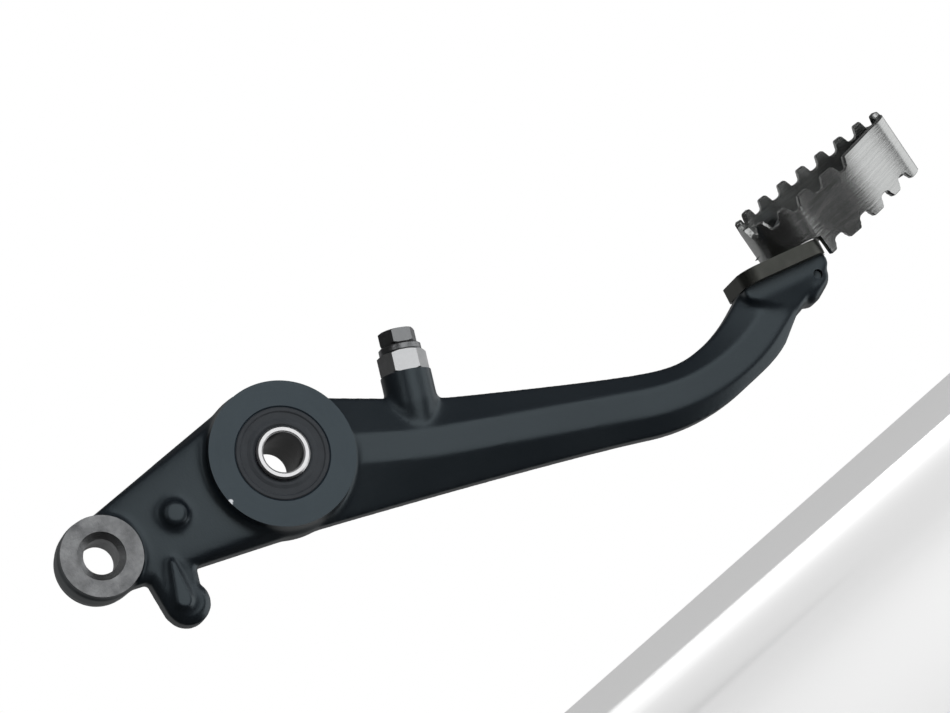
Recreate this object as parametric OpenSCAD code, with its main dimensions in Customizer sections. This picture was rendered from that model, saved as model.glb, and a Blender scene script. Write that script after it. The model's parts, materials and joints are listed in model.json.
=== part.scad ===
// Rear brake pedal of a motorcycle: forged arm on a sealed needle bearing, toothed steel toe
// piece, link eye for the master cylinder and an adjustable stop screw.
// Millimetres. The origin is the middle of the pivot, Y is the pivot axis, the outer side
// faces -Y, +X is forward and the tread faces +Z.

/* [Pivot] */
// Bore of the pivot sleeve, for the bolt that carries the pedal
sleeve_bore = 12; // [10:0.5:13]
// Outside diameter of the pivot sleeve
sleeve_d = 16; // [15:0.5:18]
// How far each end of the sleeve stands out of the hub
sleeve_proud = 1.4; // [1:0.1:2.5]
// Width of the hub over its two turned faces
hub_w = 24; // [22:1:30]
// Diameter of the turned faces of the hub
hub_face_d = 44; // [42:1:48]
// Diameter of the forged body round the hub
hub_body_d = 46; // [45:0.5:50]

/* [Bearing and seals] */
// Diameter of the needle rollers
roller_d = 2; // [1.5:0.25:2.5]
// Number of needle rollers
roller_count = 18; // [12:1:18]
// Wall of the drawn bearing cup
cup_wall = 1; // [0.8:0.1:1.5]
// Outside diameter of the two lip seals
seal_d = 28; // [27:0.5:30]
// Width of each lip seal
seal_w = 4; // [3.5:0.25:4.5]
// Running clearance of rollers, cage and seal lips
running_gap = 0.04; // [0.02:0.01:0.08]

/* [Arm] */
// Rise of the straight run of the arm above the link plane
arm_rise = 14; // [8:1:20]
// Length of the straight run, from abreast of the pivot to the bend
arm_run = 112.5; // [95:0.5:125]
// Distance by which the middle of the arm passes below the pivot
arm_drop = 4; // [0:0.5:8]
// Radius of the bend, at the middle of the arm
bend_r = 56; // [50:1:70]
// Angle through which the arm bends up
bend_turn = 48; // [35:1:55]
// Length of the head beyond the bend, to the seat of the toe piece
head_run = 18; // [14:1:22]
// Depth of the arm beside the hub, seen from the side
arm_depth_hub = 37; // [34:1:42]
// Depth of the arm from the bend to the head
arm_depth_end = 19.6; // [17:0.2:22]
// Thickness of the arm beside the hub
arm_thick_hub = 16; // [14:0.5:18]
// Thickness of the arm before the bend
arm_thick_end = 11.4; // [10:0.2:14]
// Width of the flat crest along each side of the arm
crest_w = 8.4; // [6:0.2:10]
// Thickness of the upper and lower edges of the arm
edge_thick = 6; // [4:0.5:8]

/* [Link eye and rear lug] */
// Distance from the pivot to the link eye
eye_reach = 61; // [56:1:68]
// Direction of the link eye from the pivot
eye_angle = 212; // [205:1:220]
// Diameter of the link eye
eye_d = 25.4; // [24:0.2:28]
// Width of the link eye over its machined faces
eye_w = 12.6; // [11:0.2:16]
// Bore of the link eye
eye_bore = 10.5; // [8:0.5:12]
// Diameter of the countersinks of the link eye
eye_chamfer_d = 14.5; // [13:0.5:16]
// Distance from the pivot to the end of the spring lug
lug_reach = 49.3; // [47:0.5:52]
// Direction of the spring lug from the pivot
lug_angle = 239; // [237:0.5:242]
// Width of the rounded end of the spring lug
lug_w = 14.8; // [13:0.2:17]
// Length of the neck between the lug's rounded end and the web
lug_neck = 10; // [8:0.5:12]
// Diameter of the round pip on the web
pip_d = 7.5; // [6:0.1:9]
// Height of that pip above the web
pip_h = 1.8; // [1:0.1:3]

/* [Stop screw] */
// Distance of the stop boss from the pivot, along the arm
boss_at = 45; // [42:1:60]
// Direction of the stop boss, from the forward direction
boss_angle = 103.4; // [98:0.2:110]
// Diameter of the stop boss
boss_d = 15; // [13.5:0.5:17]
// Height of the stop boss above the edge of the arm
boss_h = 8.7; // [6:0.1:12]
// Thread diameter of the stop screw
screw_d = 8; // [6:1:8]
// Width across flats of the lock nut
nut_af = 13; // [12:0.5:14]
// Height of the lock nut
nut_h = 6.5; // [5:0.5:8]
// Diameter of the collar under the screw head
collar_d = 12.8; // [12:0.2:15]
// Thickness of that collar
collar_h = 2.7; // [2:0.1:4]
// Width across flats of the screw head
screw_af = 10; // [9:0.5:11]
// Height of the screw head above its collar
screw_head_h = 4.3; // [3.5:0.1:6]
// Depth to which the stop screw reaches into the boss
screw_reach = 20; // [14:1:24]

/* [Toe piece] */
// Angle of the seat for the toe piece, seen from the side
seat_angle = 27.5; // [20:0.5:37]
// Thickness of the base plate of the toe piece
base_t = 4.6; // [3.5:0.1:6]
// Length of the base plate
base_l = 29; // [26:1:34]
// Angle of the tread, seen from the side; the model is turned to lay it level
tread_angle = 42.5; // [34:0.5:46]
// Sideways tilt of the tread, lower on its outer side
tread_tilt = 17; // [5:1:24]
// Length of the toothed tread loop
loop_l = 60; // [54:1:68]
// Width of the toothed tread loop
loop_w = 25; // [22:1:30]
// Height of the strip between the roots of its teeth
strip_h = 14.6; // [12:0.2:18]
// Thickness of the strip
strip_t = 2; // [1.5:0.1:3]
// Depth of the teeth
tooth_h = 3; // [2:0.1:3.6]
// Spacing of the teeth on the outer wall
outer_pitch = 10; // [8:0.25:12]
// Spacing of the teeth on the inner wall
inner_pitch = 8.2; // [7:0.2:10]
// Thread diameter of the two screws that hold the toe piece
toe_screw_d = 6; // [5:0.5:7]

/* [Hidden] */
$fn = 64;

sliver = 0.01;
sleeve_r = sleeve_d / 2;
sleeve_l = hub_w + 2 * sleeve_proud;
race_r = sleeve_r + roller_d + 2 * running_gap;
cup_r = race_r + cup_wall;
bearing_w = hub_w - 2 * seal_w;
roller_r = roller_d / 2 - running_gap / 2;
roller_pitch_r = sleeve_r + running_gap + roller_d / 2;

seal_r = seal_d / 2;
lip_r = sleeve_r + running_gap;

arm_foot = arm_drop * [sin(arm_rise), -cos(arm_rise)];
bend_start = arm_foot + arm_run * heading(arm_rise);
bend_centre = bend_start + bend_r * heading(arm_rise + 90);
bend_len = bend_r * bend_turn * PI / 180;
head_angle = arm_rise + bend_turn;
bend_end = bend_centre - bend_r * heading(head_angle + 90);
arm_len = arm_run + bend_len + head_run;
seat = bend_end + head_run * heading(head_angle);

eye = eye_reach * heading(eye_angle);
lug = lug_reach * heading(lug_angle);
lug_root = lug + lug_neck * heading(100);
web_half = eye_w / 2 - 1;
waist = 1.8;

boss_foot = arm_middle(boss_at) + arm_half_depth(boss_at) * heading(arm_rise + 90);
screw_play = 0.05;
screw_tip = 1;
boss_root = 4;
boss_fillet = 3;
hex_turn = 10;
rim = 0.8;
rib_h = 1.8;
pip_place = [-30.6, -18.6];
pip_floor = 6.6;

cup_lip = 0.9;
cage_t = 1;
cage_w = bearing_w - 2 * cup_lip - 0.4;
roller_l = cage_w - 2.4;
seal_face = 1.4;
case_in = 1.2;
case_t = 0.6;
garter_r = sleeve_r + 1.9;
garter_t = 1.1;
garter_at = 2.6;

base_corner = 6;
pad_half = 7.5;
lobe_r = 4.6;
lobe_inset = 5;
toe_screw_places = [-0.28 * base_l, 0.3 * base_l];
function toe_screw_bite(x) = x < 0 ? 10 : 6.5;
toe_head_d = 2 * toe_screw_d - 0.6;
toe_head_h = (toe_head_d - toe_screw_d) / 2;
toe_head_gap = 0.15;
toe_socket_af = 4;

nose_r = loop_w / 2;
front_r = 6;
loop_span = loop_l - nose_r - front_r;
loop_taper = asin((nose_r - front_r) / loop_span);
nose_arc = nose_r * (90 + loop_taper) * PI / 180;
wall_run = loop_span * cos(loop_taper);
front_arc = front_r * (90 - loop_taper) * PI / 180;
loop_start = nose_r - 0.5;
loop_lift = 1;
gap_share = 0.2;
base_w = loop_w;
skirt_end = base_l / 2 * cos(tread_angle - seat_angle)
    + base_t * sin(tread_angle - seat_angle) - loop_start;
skirt_drop = 8;
function gap_places(pitch) = [for (s = [pitch / 2:pitch:nose_arc + wall_run]) s];

function heading(a) = [cos(a), sin(a)];
function mix(a, b, k) = a + (b - a) * min(max(k, 0), 1);
function ease(k) = let (c = min(max(k, 0), 1)) c * c * (3 - 2 * c);

// Middle line of the arm, s millimetres from abreast of the pivot
function arm_heading(s) = arm_rise + min(max((s - arm_run) / bend_len, 0), 1) * bend_turn;
function arm_middle(s) =
    s <= arm_run ? arm_foot + s * heading(arm_rise)
    : s <= arm_run + bend_len ? bend_centre - bend_r * heading(arm_heading(s) + 90)
    : bend_end + (s - arm_run - bend_len) * heading(head_angle);

// Half depth and half thickness of the forging, and the place of its crest
function arm_half_depth(s) =
    let (k = min(s / arm_run, 1))
    arm_depth_end / 2 + (arm_depth_hub - arm_depth_end) / 2 * pow(1 - k, 1.25);
function arm_half_thick(s) = mix(arm_thick_hub, arm_thick_end, s / arm_run) / 2;
crest_drift = 4.5;
crest_lift = 4;
function crest_offset(s) = crest_lift * (1 - ease(s / 55))
    - crest_drift * ease((s - arm_run) / (bend_len + head_run));

// Eight corners of the section: flat crests on both sides, bevels, and the edges between them
function arm_section(s) =
    let (
        h = arm_half_depth(s),
        t = arm_half_thick(s),
        e = edge_thick / 2,
        c = crest_w / 2,
        m = crest_offset(s)
    )
    [[h, -e], [h, e], [m + c, t], [m - c, t], [-h, e], [-h, -e], [m - c, -t], [m + c, -t]];
function arm_ring(s) =
    let (p = arm_middle(s), n = heading(arm_heading(s) + 90))
    [for (q = arm_section(s)) [p[0] + q[0] * n[0], q[1], p[1] + q[0] * n[1]]];

// The drawings below are made in the plane seen from the outer side, x forward and y up
module side_view() rotate([90, 0, 0]) children();
module as_fitted() rotate([0, tread_angle, 0]) children();
module at(p) translate([p[0], 0, p[1]]) children();
module lay(a) rotate([0, -a, 0]) children();

module swept_arm() {
    steps = [for (i = [0:8]) arm_run * i / 8,
        for (i = [1:14]) arm_run + bend_len * i / 14,
        arm_len, arm_len + arm_depth_end];
    rings = [for (s = steps) arm_ring(s)];
    m = len(rings[0]);
    last = len(rings) - 1;
    points = [for (r = rings) for (p = r) p];
    sides = [for (i = [0:last - 1]) for (j = [0:m - 1])
        let (k = (j + 1) % m)
        each [[i * m + j, i * m + k, (i + 1) * m + j],
            [i * m + k, (i + 1) * m + k, (i + 1) * m + j]]];
    ends = [[for (j = [m - 1:-1:0]) j], [for (j = [0:m - 1]) last * m + j]];
    polyhedron(points, concat(sides, ends), convexity = 4);
}

// Disc with a bevelled rim, its axis across the pedal, for blending forged parts with hull()
module forged_disc(r, half, bevel) {
    rotate([90, 0, 0]) {
        cylinder(h = edge_thick, r = r, center = true, $fn = 40);
        cylinder(h = 2 * half, r = r - bevel, center = true, $fn = 40);
    }
}

// Web from the hub to the link eye, and the lug that the return spring hooks on
module rear_web() {
    hull() {
        forged_disc(hub_face_d / 2 - 0.4, arm_thick_hub / 2 - 0.5, 2.5);
        at(eye) forged_disc(eye_d / 2 - waist, web_half, 2.5);
    }
    hull() {
        at(lug_root) forged_disc(lug_w / 2 - 1, web_half + 0.4, 2);
        at(lug) forged_disc(lug_w / 2, web_half - 0.4, 2);
    }
    hull() {
        at(lug) translate([-1.2, -web_half, 0]) rib_disc(2.7);
        at(lug_root) translate([-1.6, -web_half, 0]) rib_disc(1);
    }
}
module rib_disc(r) rotate([90, 0, 0]) {
    cylinder(h = 0.4, r = r + 1.2, $fn = 24);
    cylinder(h = rib_h, r = r, $fn = 24);
}

// A ring turned about the pivot axis, drawn as radius and place across the pedal
module turned(profile) rotate([90, 0, 0]) rotate_extrude() polygon(profile);

module hub_body() {
    r = hub_body_d / 2;
    f = hub_face_d / 2;
    b = arm_thick_hub / 2 + 0.4;
    turned([[0, -hub_w / 2], [f, -hub_w / 2], [f, -b - (r - f)], [r, -b], [r, b],
        [f, b + (r - f)], [f, hub_w / 2], [0, hub_w / 2]]);
}

// Link eye, with its rims rounded by a small bevel
module link_eye() at(eye) {
    r = eye_d / 2;
    h = eye_w / 2;
    turned([[0, -h], [r - rim, -h], [r, rim - h], [r, h - rim], [r - rim, h], [0, h]]);
}
module link_eye_bore() at(eye) {
    r = eye_bore / 2;
    h = eye_w / 2;
    c = (eye_chamfer_d - eye_bore) / 2;
    rotate([90, 0, 0]) cylinder(h = eye_w + 2, r = r, center = true);
    for (side = [-1, 1]) scale([1, side, 1])
        turned([[0, h - c], [r, h - c], [r + c + sliver, h + sliver], [0, h + sliver]]);
}

// Pip on the outer face of the web, with a dished root
module pip() translate([0, -pip_floor, 0]) at(pip_place) rotate([90, 0, 0]) {
    r = pip_d / 2;
    rotate_extrude() polygon([[0, -1], [r + pip_h, -1], [r + pip_h, 0],
        for (a = [0:15:90]) [r + pip_h * (1 - sin(a)), pip_h * (1 - cos(a))],
        [0, pip_h]]);
}

// Boss for the stop screw, on an axis that leans back, with a flared foot along the arm
module on_boss() at(boss_foot) lay(boss_angle) rotate([0, 90, 0]) children();
module stop_boss() on_boss() {
    r = boss_d / 2;
    cylinder(h = boss_h, r = r);
    translate([0, 0, -boss_root]) cylinder(h = boss_root, r1 = 0.7 * r, r2 = r);
    intersection() {
        translate([0, 0, -1]) rotate_extrude() polygon([[0, -1], [r + boss_fillet, -1],
            for (a = [0:15:90])
                [r + boss_fillet * (1 - sin(a)), boss_fillet * (1 - cos(a)) + 0.6],
            [0, boss_fillet + 0.6]]);
        cube([boss_d * 3, edge_thick + 1, boss_d * 2], center = true);
    }
}

// Frame of the oblique seat on which the toe piece lies, z is square to the seat
module on_seat() at(seat) lay(seat_angle) children();
module seat_disc(x, z, r, half) translate([x, 0, z]) forged_disc(r, half, 1.2);

// Head of the arm: pad under the toe piece, and the lobe that takes its front screw
module head() on_seat() {
    h = base_l / 2;
    hull() {
        for (x = [-h + 3, h - 3]) seat_disc(x, -2.5, 3, pad_half);
        seat_disc(-1, -9, 4, arm_thick_end / 2);
    }
    hull() {
        seat_disc(h - lobe_inset, -5, lobe_r, pad_half - 0.5);
        seat_disc(h - 8.5, -8, lobe_r - 0.6, arm_thick_end / 2);
    }
}

module pedal_arm() color("#23262a") as_fitted() difference() {
    union() {
        swept_arm();
        rear_web();
        hub_body();
        link_eye();
        stop_boss();
        head();
        pip();
    }
    rotate([90, 0, 0]) cylinder(h = hub_w + 2, r = cup_r, center = true);
    for (side = [-1, 1]) translate([0, side * (hub_w / 2 - seal_w / 2 + sliver), 0])
        rotate([90, 0, 0]) cylinder(h = seal_w + 2 * sliver, d = seal_d, center = true);
    link_eye_bore();
    on_boss() translate([0, 0, -screw_reach - screw_tip])
        cylinder(h = screw_reach + screw_tip + boss_h + 1, d = screw_d + 2 * screw_play);
    on_seat() translate([-base_l, -base_w, 0]) cube([2 * base_l, 2 * base_w, base_l]);
    for (x = toe_screw_places) on_seat() translate([x, 0, -toe_screw_bite(x) - screw_tip])
        cylinder(h = toe_screw_bite(x) + screw_tip + 1, d = toe_screw_d + 2 * screw_play);
    on_seat() translate([base_l / 2 - lobe_inset, -pad_half - 1, -5]) rotate([-90, 0, 0])
        cylinder(h = 3, d = 3);
}

// Inner sleeve that stays clamped on the frame bolt
module pivot_sleeve() color("#d8dadc") as_fitted() {
    h = sleeve_l / 2;
    c = 0.5;
    i = sleeve_bore / 2;
    turned([[i, -h + c], [i + c, -h], [sleeve_r - c, -h], [sleeve_r, -h + c],
        [sleeve_r, h - c], [sleeve_r - c, h], [i + c, h], [i, h - c]]);
}

// Drawn cup with a lip turned in at both ends, pressed into the hub
module needle_bearing_cup() color("#9a9ea3") as_fitted() {
    h = bearing_w / 2;
    lip = sleeve_r + 2 * running_gap + 0.3;
    turned([[lip, -h], [cup_r, -h], [cup_r, h], [lip, h], [lip, h - cup_lip],
        [race_r, h - cup_lip], [race_r, -h + cup_lip], [lip, -h + cup_lip]]);
}

// Cage with one pocket for each roller
module needle_bearing_cage() color("#6f6a52") as_fitted() difference() {
    h = cage_w / 2;
    inner = roller_pitch_r - cage_t / 2;
    outer = roller_pitch_r + cage_t / 2;
    turned([[inner, -h], [outer, -h], [outer, h], [inner, h]]);
    for (i = [0:roller_count - 1]) rotate([0, i * 360 / roller_count, 0])
        translate([roller_pitch_r, 0, 0])
            cube([2 * cage_t, roller_l + 2 * running_gap, roller_d + 2 * running_gap],
                center = true);
}

module needle_rollers() color("#c9ccd0") as_fitted()
    for (i = [0:roller_count - 1]) rotate([0, i * 360 / roller_count, 0])
        translate([roller_pitch_r, 0, 0]) rotate([90, 0, 0])
            cylinder(h = roller_l, r = roller_r, center = true, $fn = 24);

// Lip seal, drawn from its outer face inwards: rubber, steel case behind it, garter spring
module placed_seal(side) as_fitted() scale([1, side, 1])
    translate([0, hub_w / 2, 0]) rotate([90, 0, 0]) rotate_extrude() children();
module seal_rubber(side) color("#17181a") placed_seal(side) difference() {
    polygon([[seal_r, 0.3], [seal_r - 0.3, 0], [seal_r - 1.2, 0], [seal_r - 1.6, 0.35],
        [sleeve_r + 2.6, 0.35], [sleeve_r + 1.6, 0], [sleeve_r + 0.9, 0], [lip_r, 0.5],
        [lip_r + 0.5, 0.9], [lip_r + 0.9, 1.6], [lip_r, 2.5], [lip_r + 0.6, seal_w - 0.5],
        [garter_r + 0.3, seal_w - 0.5], [garter_r + 0.3, seal_face], [seal_r - case_in, seal_face],
        [seal_r - case_in, seal_w], [seal_r, seal_w]]);
    translate([garter_r + 0.3, garter_at]) circle(r = garter_t / 2 + running_gap, $fn = 24);
}
module seal_case(side) color("#8d9196") placed_seal(side)
    polygon([[seal_r - case_in, seal_face], [seal_r - case_in, seal_w],
        [seal_r - case_in - case_t, seal_w], [seal_r - case_in - case_t, seal_face + case_t],
        [garter_r + 1.4, seal_face + case_t], [garter_r + 1.4, seal_face]]);
module seal_spring(side) color("#a9adb1") placed_seal(side)
    translate([garter_r + 0.3, garter_at]) circle(r = garter_t / 2, $fn = 24);

module outer_seal() seal_rubber(-1);
module outer_seal_case() seal_case(-1);
module outer_seal_spring() seal_spring(-1);
module inner_seal() seal_rubber(1);
module inner_seal_case() seal_case(1);
module inner_seal_spring() seal_spring(1);

// Hexagon bar with both ends chamfered by a cone
module chamfered_hex(af, h, top = 1) intersection() {
    cylinder(h = h, r = af / sqrt(3), $fn = 6);
    r = af / sqrt(3);
    c = r - af / 2;
    rotate_extrude() polygon([[0, 0], [r - c * 0.9, 0], [r + sliver, 0.5 * c + sliver],
        [r + sliver, h - 0.5 * c * top - sliver], [r - c * 0.9 * top, h], [0, h]]);
}

module stop_screw() color("#aeb3b8") as_fitted() on_boss() {
    foot = boss_h + nut_h;
    translate([0, 0, -screw_reach]) cylinder(h = screw_reach + foot, d = screw_d);
    translate([0, 0, foot]) rotate_extrude() polygon([[0, 0], [collar_d / 2 - 0.4, 0],
        [collar_d / 2, 0.4], [collar_d / 2, collar_h - 0.8], [collar_d / 2 - 1, collar_h],
        [0, collar_h]]);
    translate([0, 0, foot + collar_h - sliver]) rotate(hex_turn)
        chamfered_hex(screw_af, screw_head_h + sliver);
}

module lock_nut() color("#c3c7cb") as_fitted() on_boss() translate([0, 0, boss_h])
    difference() {
        rotate(hex_turn) chamfered_hex(nut_af, nut_h);
        translate([0, 0, -1]) cylinder(h = nut_h + 2, d = screw_d + 2 * screw_play);
    }

// Base plate: rounded corners, two countersunk holes
module toe_base() color("#6c706c") as_fitted() on_seat() difference() {
    union() {
        x = base_l / 2 - base_corner;
        y = base_w / 2 - base_corner;
        for (i = [-1, 1], j = [-1, 1]) translate([i * x, j * y, 0])
            cylinder(h = base_t, r = base_corner);
        translate([-base_l / 2, -y, 0]) cube([base_l, 2 * y, base_t]);
        translate([-x, -base_w / 2, 0]) cube([2 * x, base_w, base_t]);
    }
    for (x = toe_screw_places) translate([x, 0, 0]) {
        translate([0, 0, -1]) cylinder(h = base_t + 2, d = toe_screw_d + 0.4);
        translate([0, 0, base_t - toe_head_h - toe_head_gap])
            cylinder(h = toe_head_h + toe_head_gap + sliver, d1 = toe_screw_d + 0.4,
                d2 = toe_head_d + 0.6);
    }
}

module toe_screw(x) color("#b9bdc1") as_fitted() on_seat() translate([x, 0, 0])
    difference() {
        union() {
            translate([0, 0, -toe_screw_bite(x)])
                cylinder(h = toe_screw_bite(x) + base_t - toe_head_h, d = toe_screw_d);
            translate([0, 0, base_t - toe_head_h - sliver])
                cylinder(h = toe_head_h, d1 = toe_screw_d, d2 = toe_head_d);
        }
        translate([0, 0, base_t - 2.4]) cylinder(h = 3, r = toe_socket_af / sqrt(3), $fn = 6);
    }
module front_toe_screw() toe_screw(toe_screw_places[1]);
module rear_toe_screw() toe_screw(toe_screw_places[0]);

// Frame of the tread: x along it, y across the pedal, z square to it, 0 at the lower roots
module on_tread() at(seat) lay(tread_angle) translate([loop_start, 0, loop_lift])
    rotate([tread_tilt, 0, 0]) children();

// Outline of the bent strip: a wide nose, a tight front bend and straight walls between
module loop_outline(inset) {
    n = nose_r - inset;
    f = front_r - inset;
    circle(r = n);
    translate([loop_span, 0]) circle(r = f);
    polygon([n * heading(90 - loop_taper), [loop_span, 0] + f * heading(90 - loop_taper),
        [loop_span, 0] + f * heading(loop_taper - 90), n * heading(loop_taper - 90)]);
}
module strip_wall(h) linear_extrude(h) difference() {
    loop_outline(0);
    loop_outline(strip_t);
}

// Place and outward direction on the strip, s millimetres round it from the nose
function wall_heading(s) =
    s < nose_arc ? 180 - s / nose_arc * (90 + loop_taper)
    : s < nose_arc + wall_run ? 90 - loop_taper
    : 90 - loop_taper - min((s - nose_arc - wall_run) / front_arc, 1) * (90 - loop_taper);
function wall_point(s) =
    let (a = wall_heading(s))
    s < nose_arc ? nose_r * heading(a)
    : s < nose_arc + wall_run
        ? nose_r * heading(a) + (s - nose_arc) * heading(-loop_taper)
    : [loop_span, 0] + front_r * heading(a);

// Gap between two teeth: round root, opening outwards
module tooth_gap(r) rotate([90, 0, 90]) translate([0, 0, -2 * strip_t]) {
    translate([0, r - tooth_h, 0]) cylinder(h = 3 * strip_t, r = r, $fn = 24);
    linear_extrude(3 * strip_t) polygon([[-r, r - tooth_h], [r, r - tooth_h],
        [1.5 * r, 1], [-1.5 * r, 1]]);
}
module gaps_round(pitch, side, from) scale([1, side, 1])
    for (s = gap_places(pitch)) if (wall_point(s)[0] > from)
        translate([wall_point(s)[0], wall_point(s)[1], 0]) rotate(wall_heading(s))
            tooth_gap(pitch * gap_share);
module toothed_strip() difference() {
    translate([0, 0, -tooth_h]) strip_wall(strip_h + 2 * tooth_h);
    for (wall = [[outer_pitch, -1], [inner_pitch, 1]]) {
        translate([0, 0, strip_h + tooth_h]) gaps_round(wall[0], wall[1], -loop_l);
        translate([0, 0, -tooth_h]) mirror([0, 0, 1])
            gaps_round(wall[0], wall[1], skirt_end + wall[0] / 3);
    }
}

// Where it stands on the base plate the strip has no lower teeth and is cut to the plate
module skirt() intersection() {
    translate([0, 0, -skirt_drop]) strip_wall(skirt_drop + 1);
    translate([-loop_l, -loop_w, -skirt_drop - 1])
        cube([loop_l + skirt_end, 2 * loop_w, skirt_drop + 2]);
}
module below_plate_top(reach) on_seat()
    translate([-2 * base_l, -base_l, base_t - base_l]) cube([reach, 2 * base_l, base_l]);
module tread_loop() color("#a6abaf") as_fitted() {
    difference() {
        on_tread() toothed_strip();
        below_plate_top(2.5 * base_l);
    }
    difference() {
        on_tread() skirt();
        below_plate_top(4 * base_l);
    }
}

pedal_arm();
pivot_sleeve();
needle_bearing_cup();
needle_bearing_cage();
needle_rollers();
outer_seal();
outer_seal_case();
outer_seal_spring();
inner_seal();
inner_seal_case();
inner_seal_spring();
stop_screw();
lock_nut();
toe_base();
tread_loop();
front_toe_screw();
rear_toe_screw();
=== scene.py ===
import json
import math

import bmesh
import bpy
import numpy as np
from mathutils import Matrix, Vector

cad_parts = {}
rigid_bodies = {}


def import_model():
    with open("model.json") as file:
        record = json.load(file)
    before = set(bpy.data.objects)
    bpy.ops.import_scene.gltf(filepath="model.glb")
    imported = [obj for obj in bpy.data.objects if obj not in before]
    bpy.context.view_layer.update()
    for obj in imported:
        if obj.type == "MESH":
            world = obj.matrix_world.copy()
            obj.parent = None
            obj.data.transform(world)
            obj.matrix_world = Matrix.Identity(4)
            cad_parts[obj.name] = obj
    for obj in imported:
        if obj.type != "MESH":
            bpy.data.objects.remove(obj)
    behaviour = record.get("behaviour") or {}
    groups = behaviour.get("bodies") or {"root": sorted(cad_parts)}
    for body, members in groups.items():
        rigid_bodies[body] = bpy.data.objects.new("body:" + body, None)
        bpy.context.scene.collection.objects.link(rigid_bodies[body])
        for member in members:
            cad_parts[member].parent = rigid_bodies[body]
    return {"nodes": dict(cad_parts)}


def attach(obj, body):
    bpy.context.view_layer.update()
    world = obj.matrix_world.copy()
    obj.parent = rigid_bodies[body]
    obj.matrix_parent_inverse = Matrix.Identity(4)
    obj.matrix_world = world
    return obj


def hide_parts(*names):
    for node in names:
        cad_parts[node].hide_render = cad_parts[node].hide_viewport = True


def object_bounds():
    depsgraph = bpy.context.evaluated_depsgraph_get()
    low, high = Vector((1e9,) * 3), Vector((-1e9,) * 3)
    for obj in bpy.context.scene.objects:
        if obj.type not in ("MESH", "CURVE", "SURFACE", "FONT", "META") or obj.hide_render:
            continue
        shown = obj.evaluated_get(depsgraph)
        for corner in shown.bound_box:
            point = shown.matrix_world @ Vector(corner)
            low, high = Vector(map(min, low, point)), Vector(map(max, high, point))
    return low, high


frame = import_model()
cad_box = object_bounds()

# Forged arm: one light-alloy forging with hub, web, link eye, lug, stop boss and head.
# It is forged, so its ribs run into each other in soft fillets, then the hub, eye, boss
# top and toe seat are machined sharp, and all but the worn eye has a black satin coat.
MM = 0.001
TREAD_ANGLE = math.radians(42.5)


def drawn(u, v, w=0.0):
    """A point drawn in the side view: u along, v up, w out of the page, in millimetres."""
    c, s = math.cos(TREAD_ANGLE), math.sin(TREAD_ANGLE)
    return Vector((u * c + v * s, -w, -u * s + v * c)) * MM


def heading(degrees):
    """Unit step (u, v) at an angle in the side view."""
    a = math.radians(degrees)
    return math.cos(a), math.sin(a)


def along(degrees):
    """The same heading as a direction in the part's frame."""
    return drawn(*heading(degrees)).normalized()


# Hub, in millimetres from the pivot: faces, seats, and the parting edge round its waist
HUB_HALF, HUB_FACE_R, HUB_BACK_R, HUB_WAIST_R = 12.0, 22.0, 19.0, 23.0
SEAL_SEAT_R, SEAL_SEAT_DEEP, SEAT_BREAK, CUP_SEAT_R = 14.0, 4.0, 0.4, 11.08
# Link eye at the rear: the machined face is a little smaller than its forging
EYE = [61 * k for k in heading(212)]
EYE_R, EYE_FACE_R, EYE_HALF, EYE_BORE_R = 12.7, 12.2, 6.3, 5.25
EYE_CHAMFER_R, EYE_CHAMFER_H = 7.25, 1.1
WEB_HALF, WEB_EYE_R, WEB_HUB_HALF, WEB_HUB_R = 3.4, 10.9, 7.5, 22.4
# Spring lug under the web, with its teardrop rib, and the pip between lug and hub
LUG = [50.8 * k for k in heading(239.8)]
LUG_ROOT = [LUG[i] + 10 * heading(119)[i] for i in (0, 1)]
LUG_ROOT_R, LUG_TIP_R, LUG_HALF, LUG_BEVEL = 7.4, 6.7, 4.8, 2.0
RIB_H, RIB_TIP_R, RIB_ROOT_R = 1.8, 2.4, 0.6
PIP, PIP_PROFILE = (-30.6, -18.6), (
    (0, 0), (5.2, 0), (4.6, 6.3), (3.9, 6.9), (3.75, 7.9), (3.35, 8.35), (0, 8.5))
# Stop boss on the upper edge, and the seat of the toe piece at the far end
BOSS_FOOT, BOSS_ANGLE, BOSS_R, BOSS_H, BOSS_SUNK = (41.149, 20.972), 103.4, 7.7, 8.7, 9.5
THREAD_HOLE_R, THREAD_HOLE_DEEP, THREAD_HOLE_BREAK = 4.05, 21.0, 0.6
SEAT, SEAT_ANGLE, SEAT_HALF_L = (154.474, 67.274), 27.5, 14.5
PAD_HALF, PAD_CORNER_R, PAD_DROP, PAD_BEVEL = 7.5, 3.0, 2.5, 1.2
LOBE_R, LOBE_INSET, LOBE_HALF = 4.6, 5.0, 7.0
TOE_HOLE_R, TOE_HOLES = 3.05, ((-8.12, 11), (8.7, 7.5))
# Arm: straight run, bend and head, with half heights above and below its middle line
ARM_RISE, ARM_RUN, BEND_R, BEND_TURN, HEAD_RUN, HEAD_LEN = 14.0, 112.5, 56.0, 48.0, 18.0, 19.6
BEND_LEN = BEND_R * math.radians(BEND_TURN)
HEAD_AT = ARM_RUN + BEND_LEN + HEAD_RUN
PIVOT_ABOVE, END_HALF, HUB_END_GAIN, TAPER_POWER = 4.0, 9.8, 8.7, 1.25
SHOULDER, SHOULDER_RUN, BEND_SHIFT, HEAD_SLIMMER = 5.2, 52.0, 1.6, 4.5
ARM_THICK, ARM_THINNER, CREST_HALF, CREST_RISE, CREST_FALL = 8.0, 2.3, 4.2, 4.0, 4.5
EDGE_HALF = 3.0
# Forging allowance that machining takes off, and the fineness of the forged skin
STOCK, VOXEL = 1.4, 0.6


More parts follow.
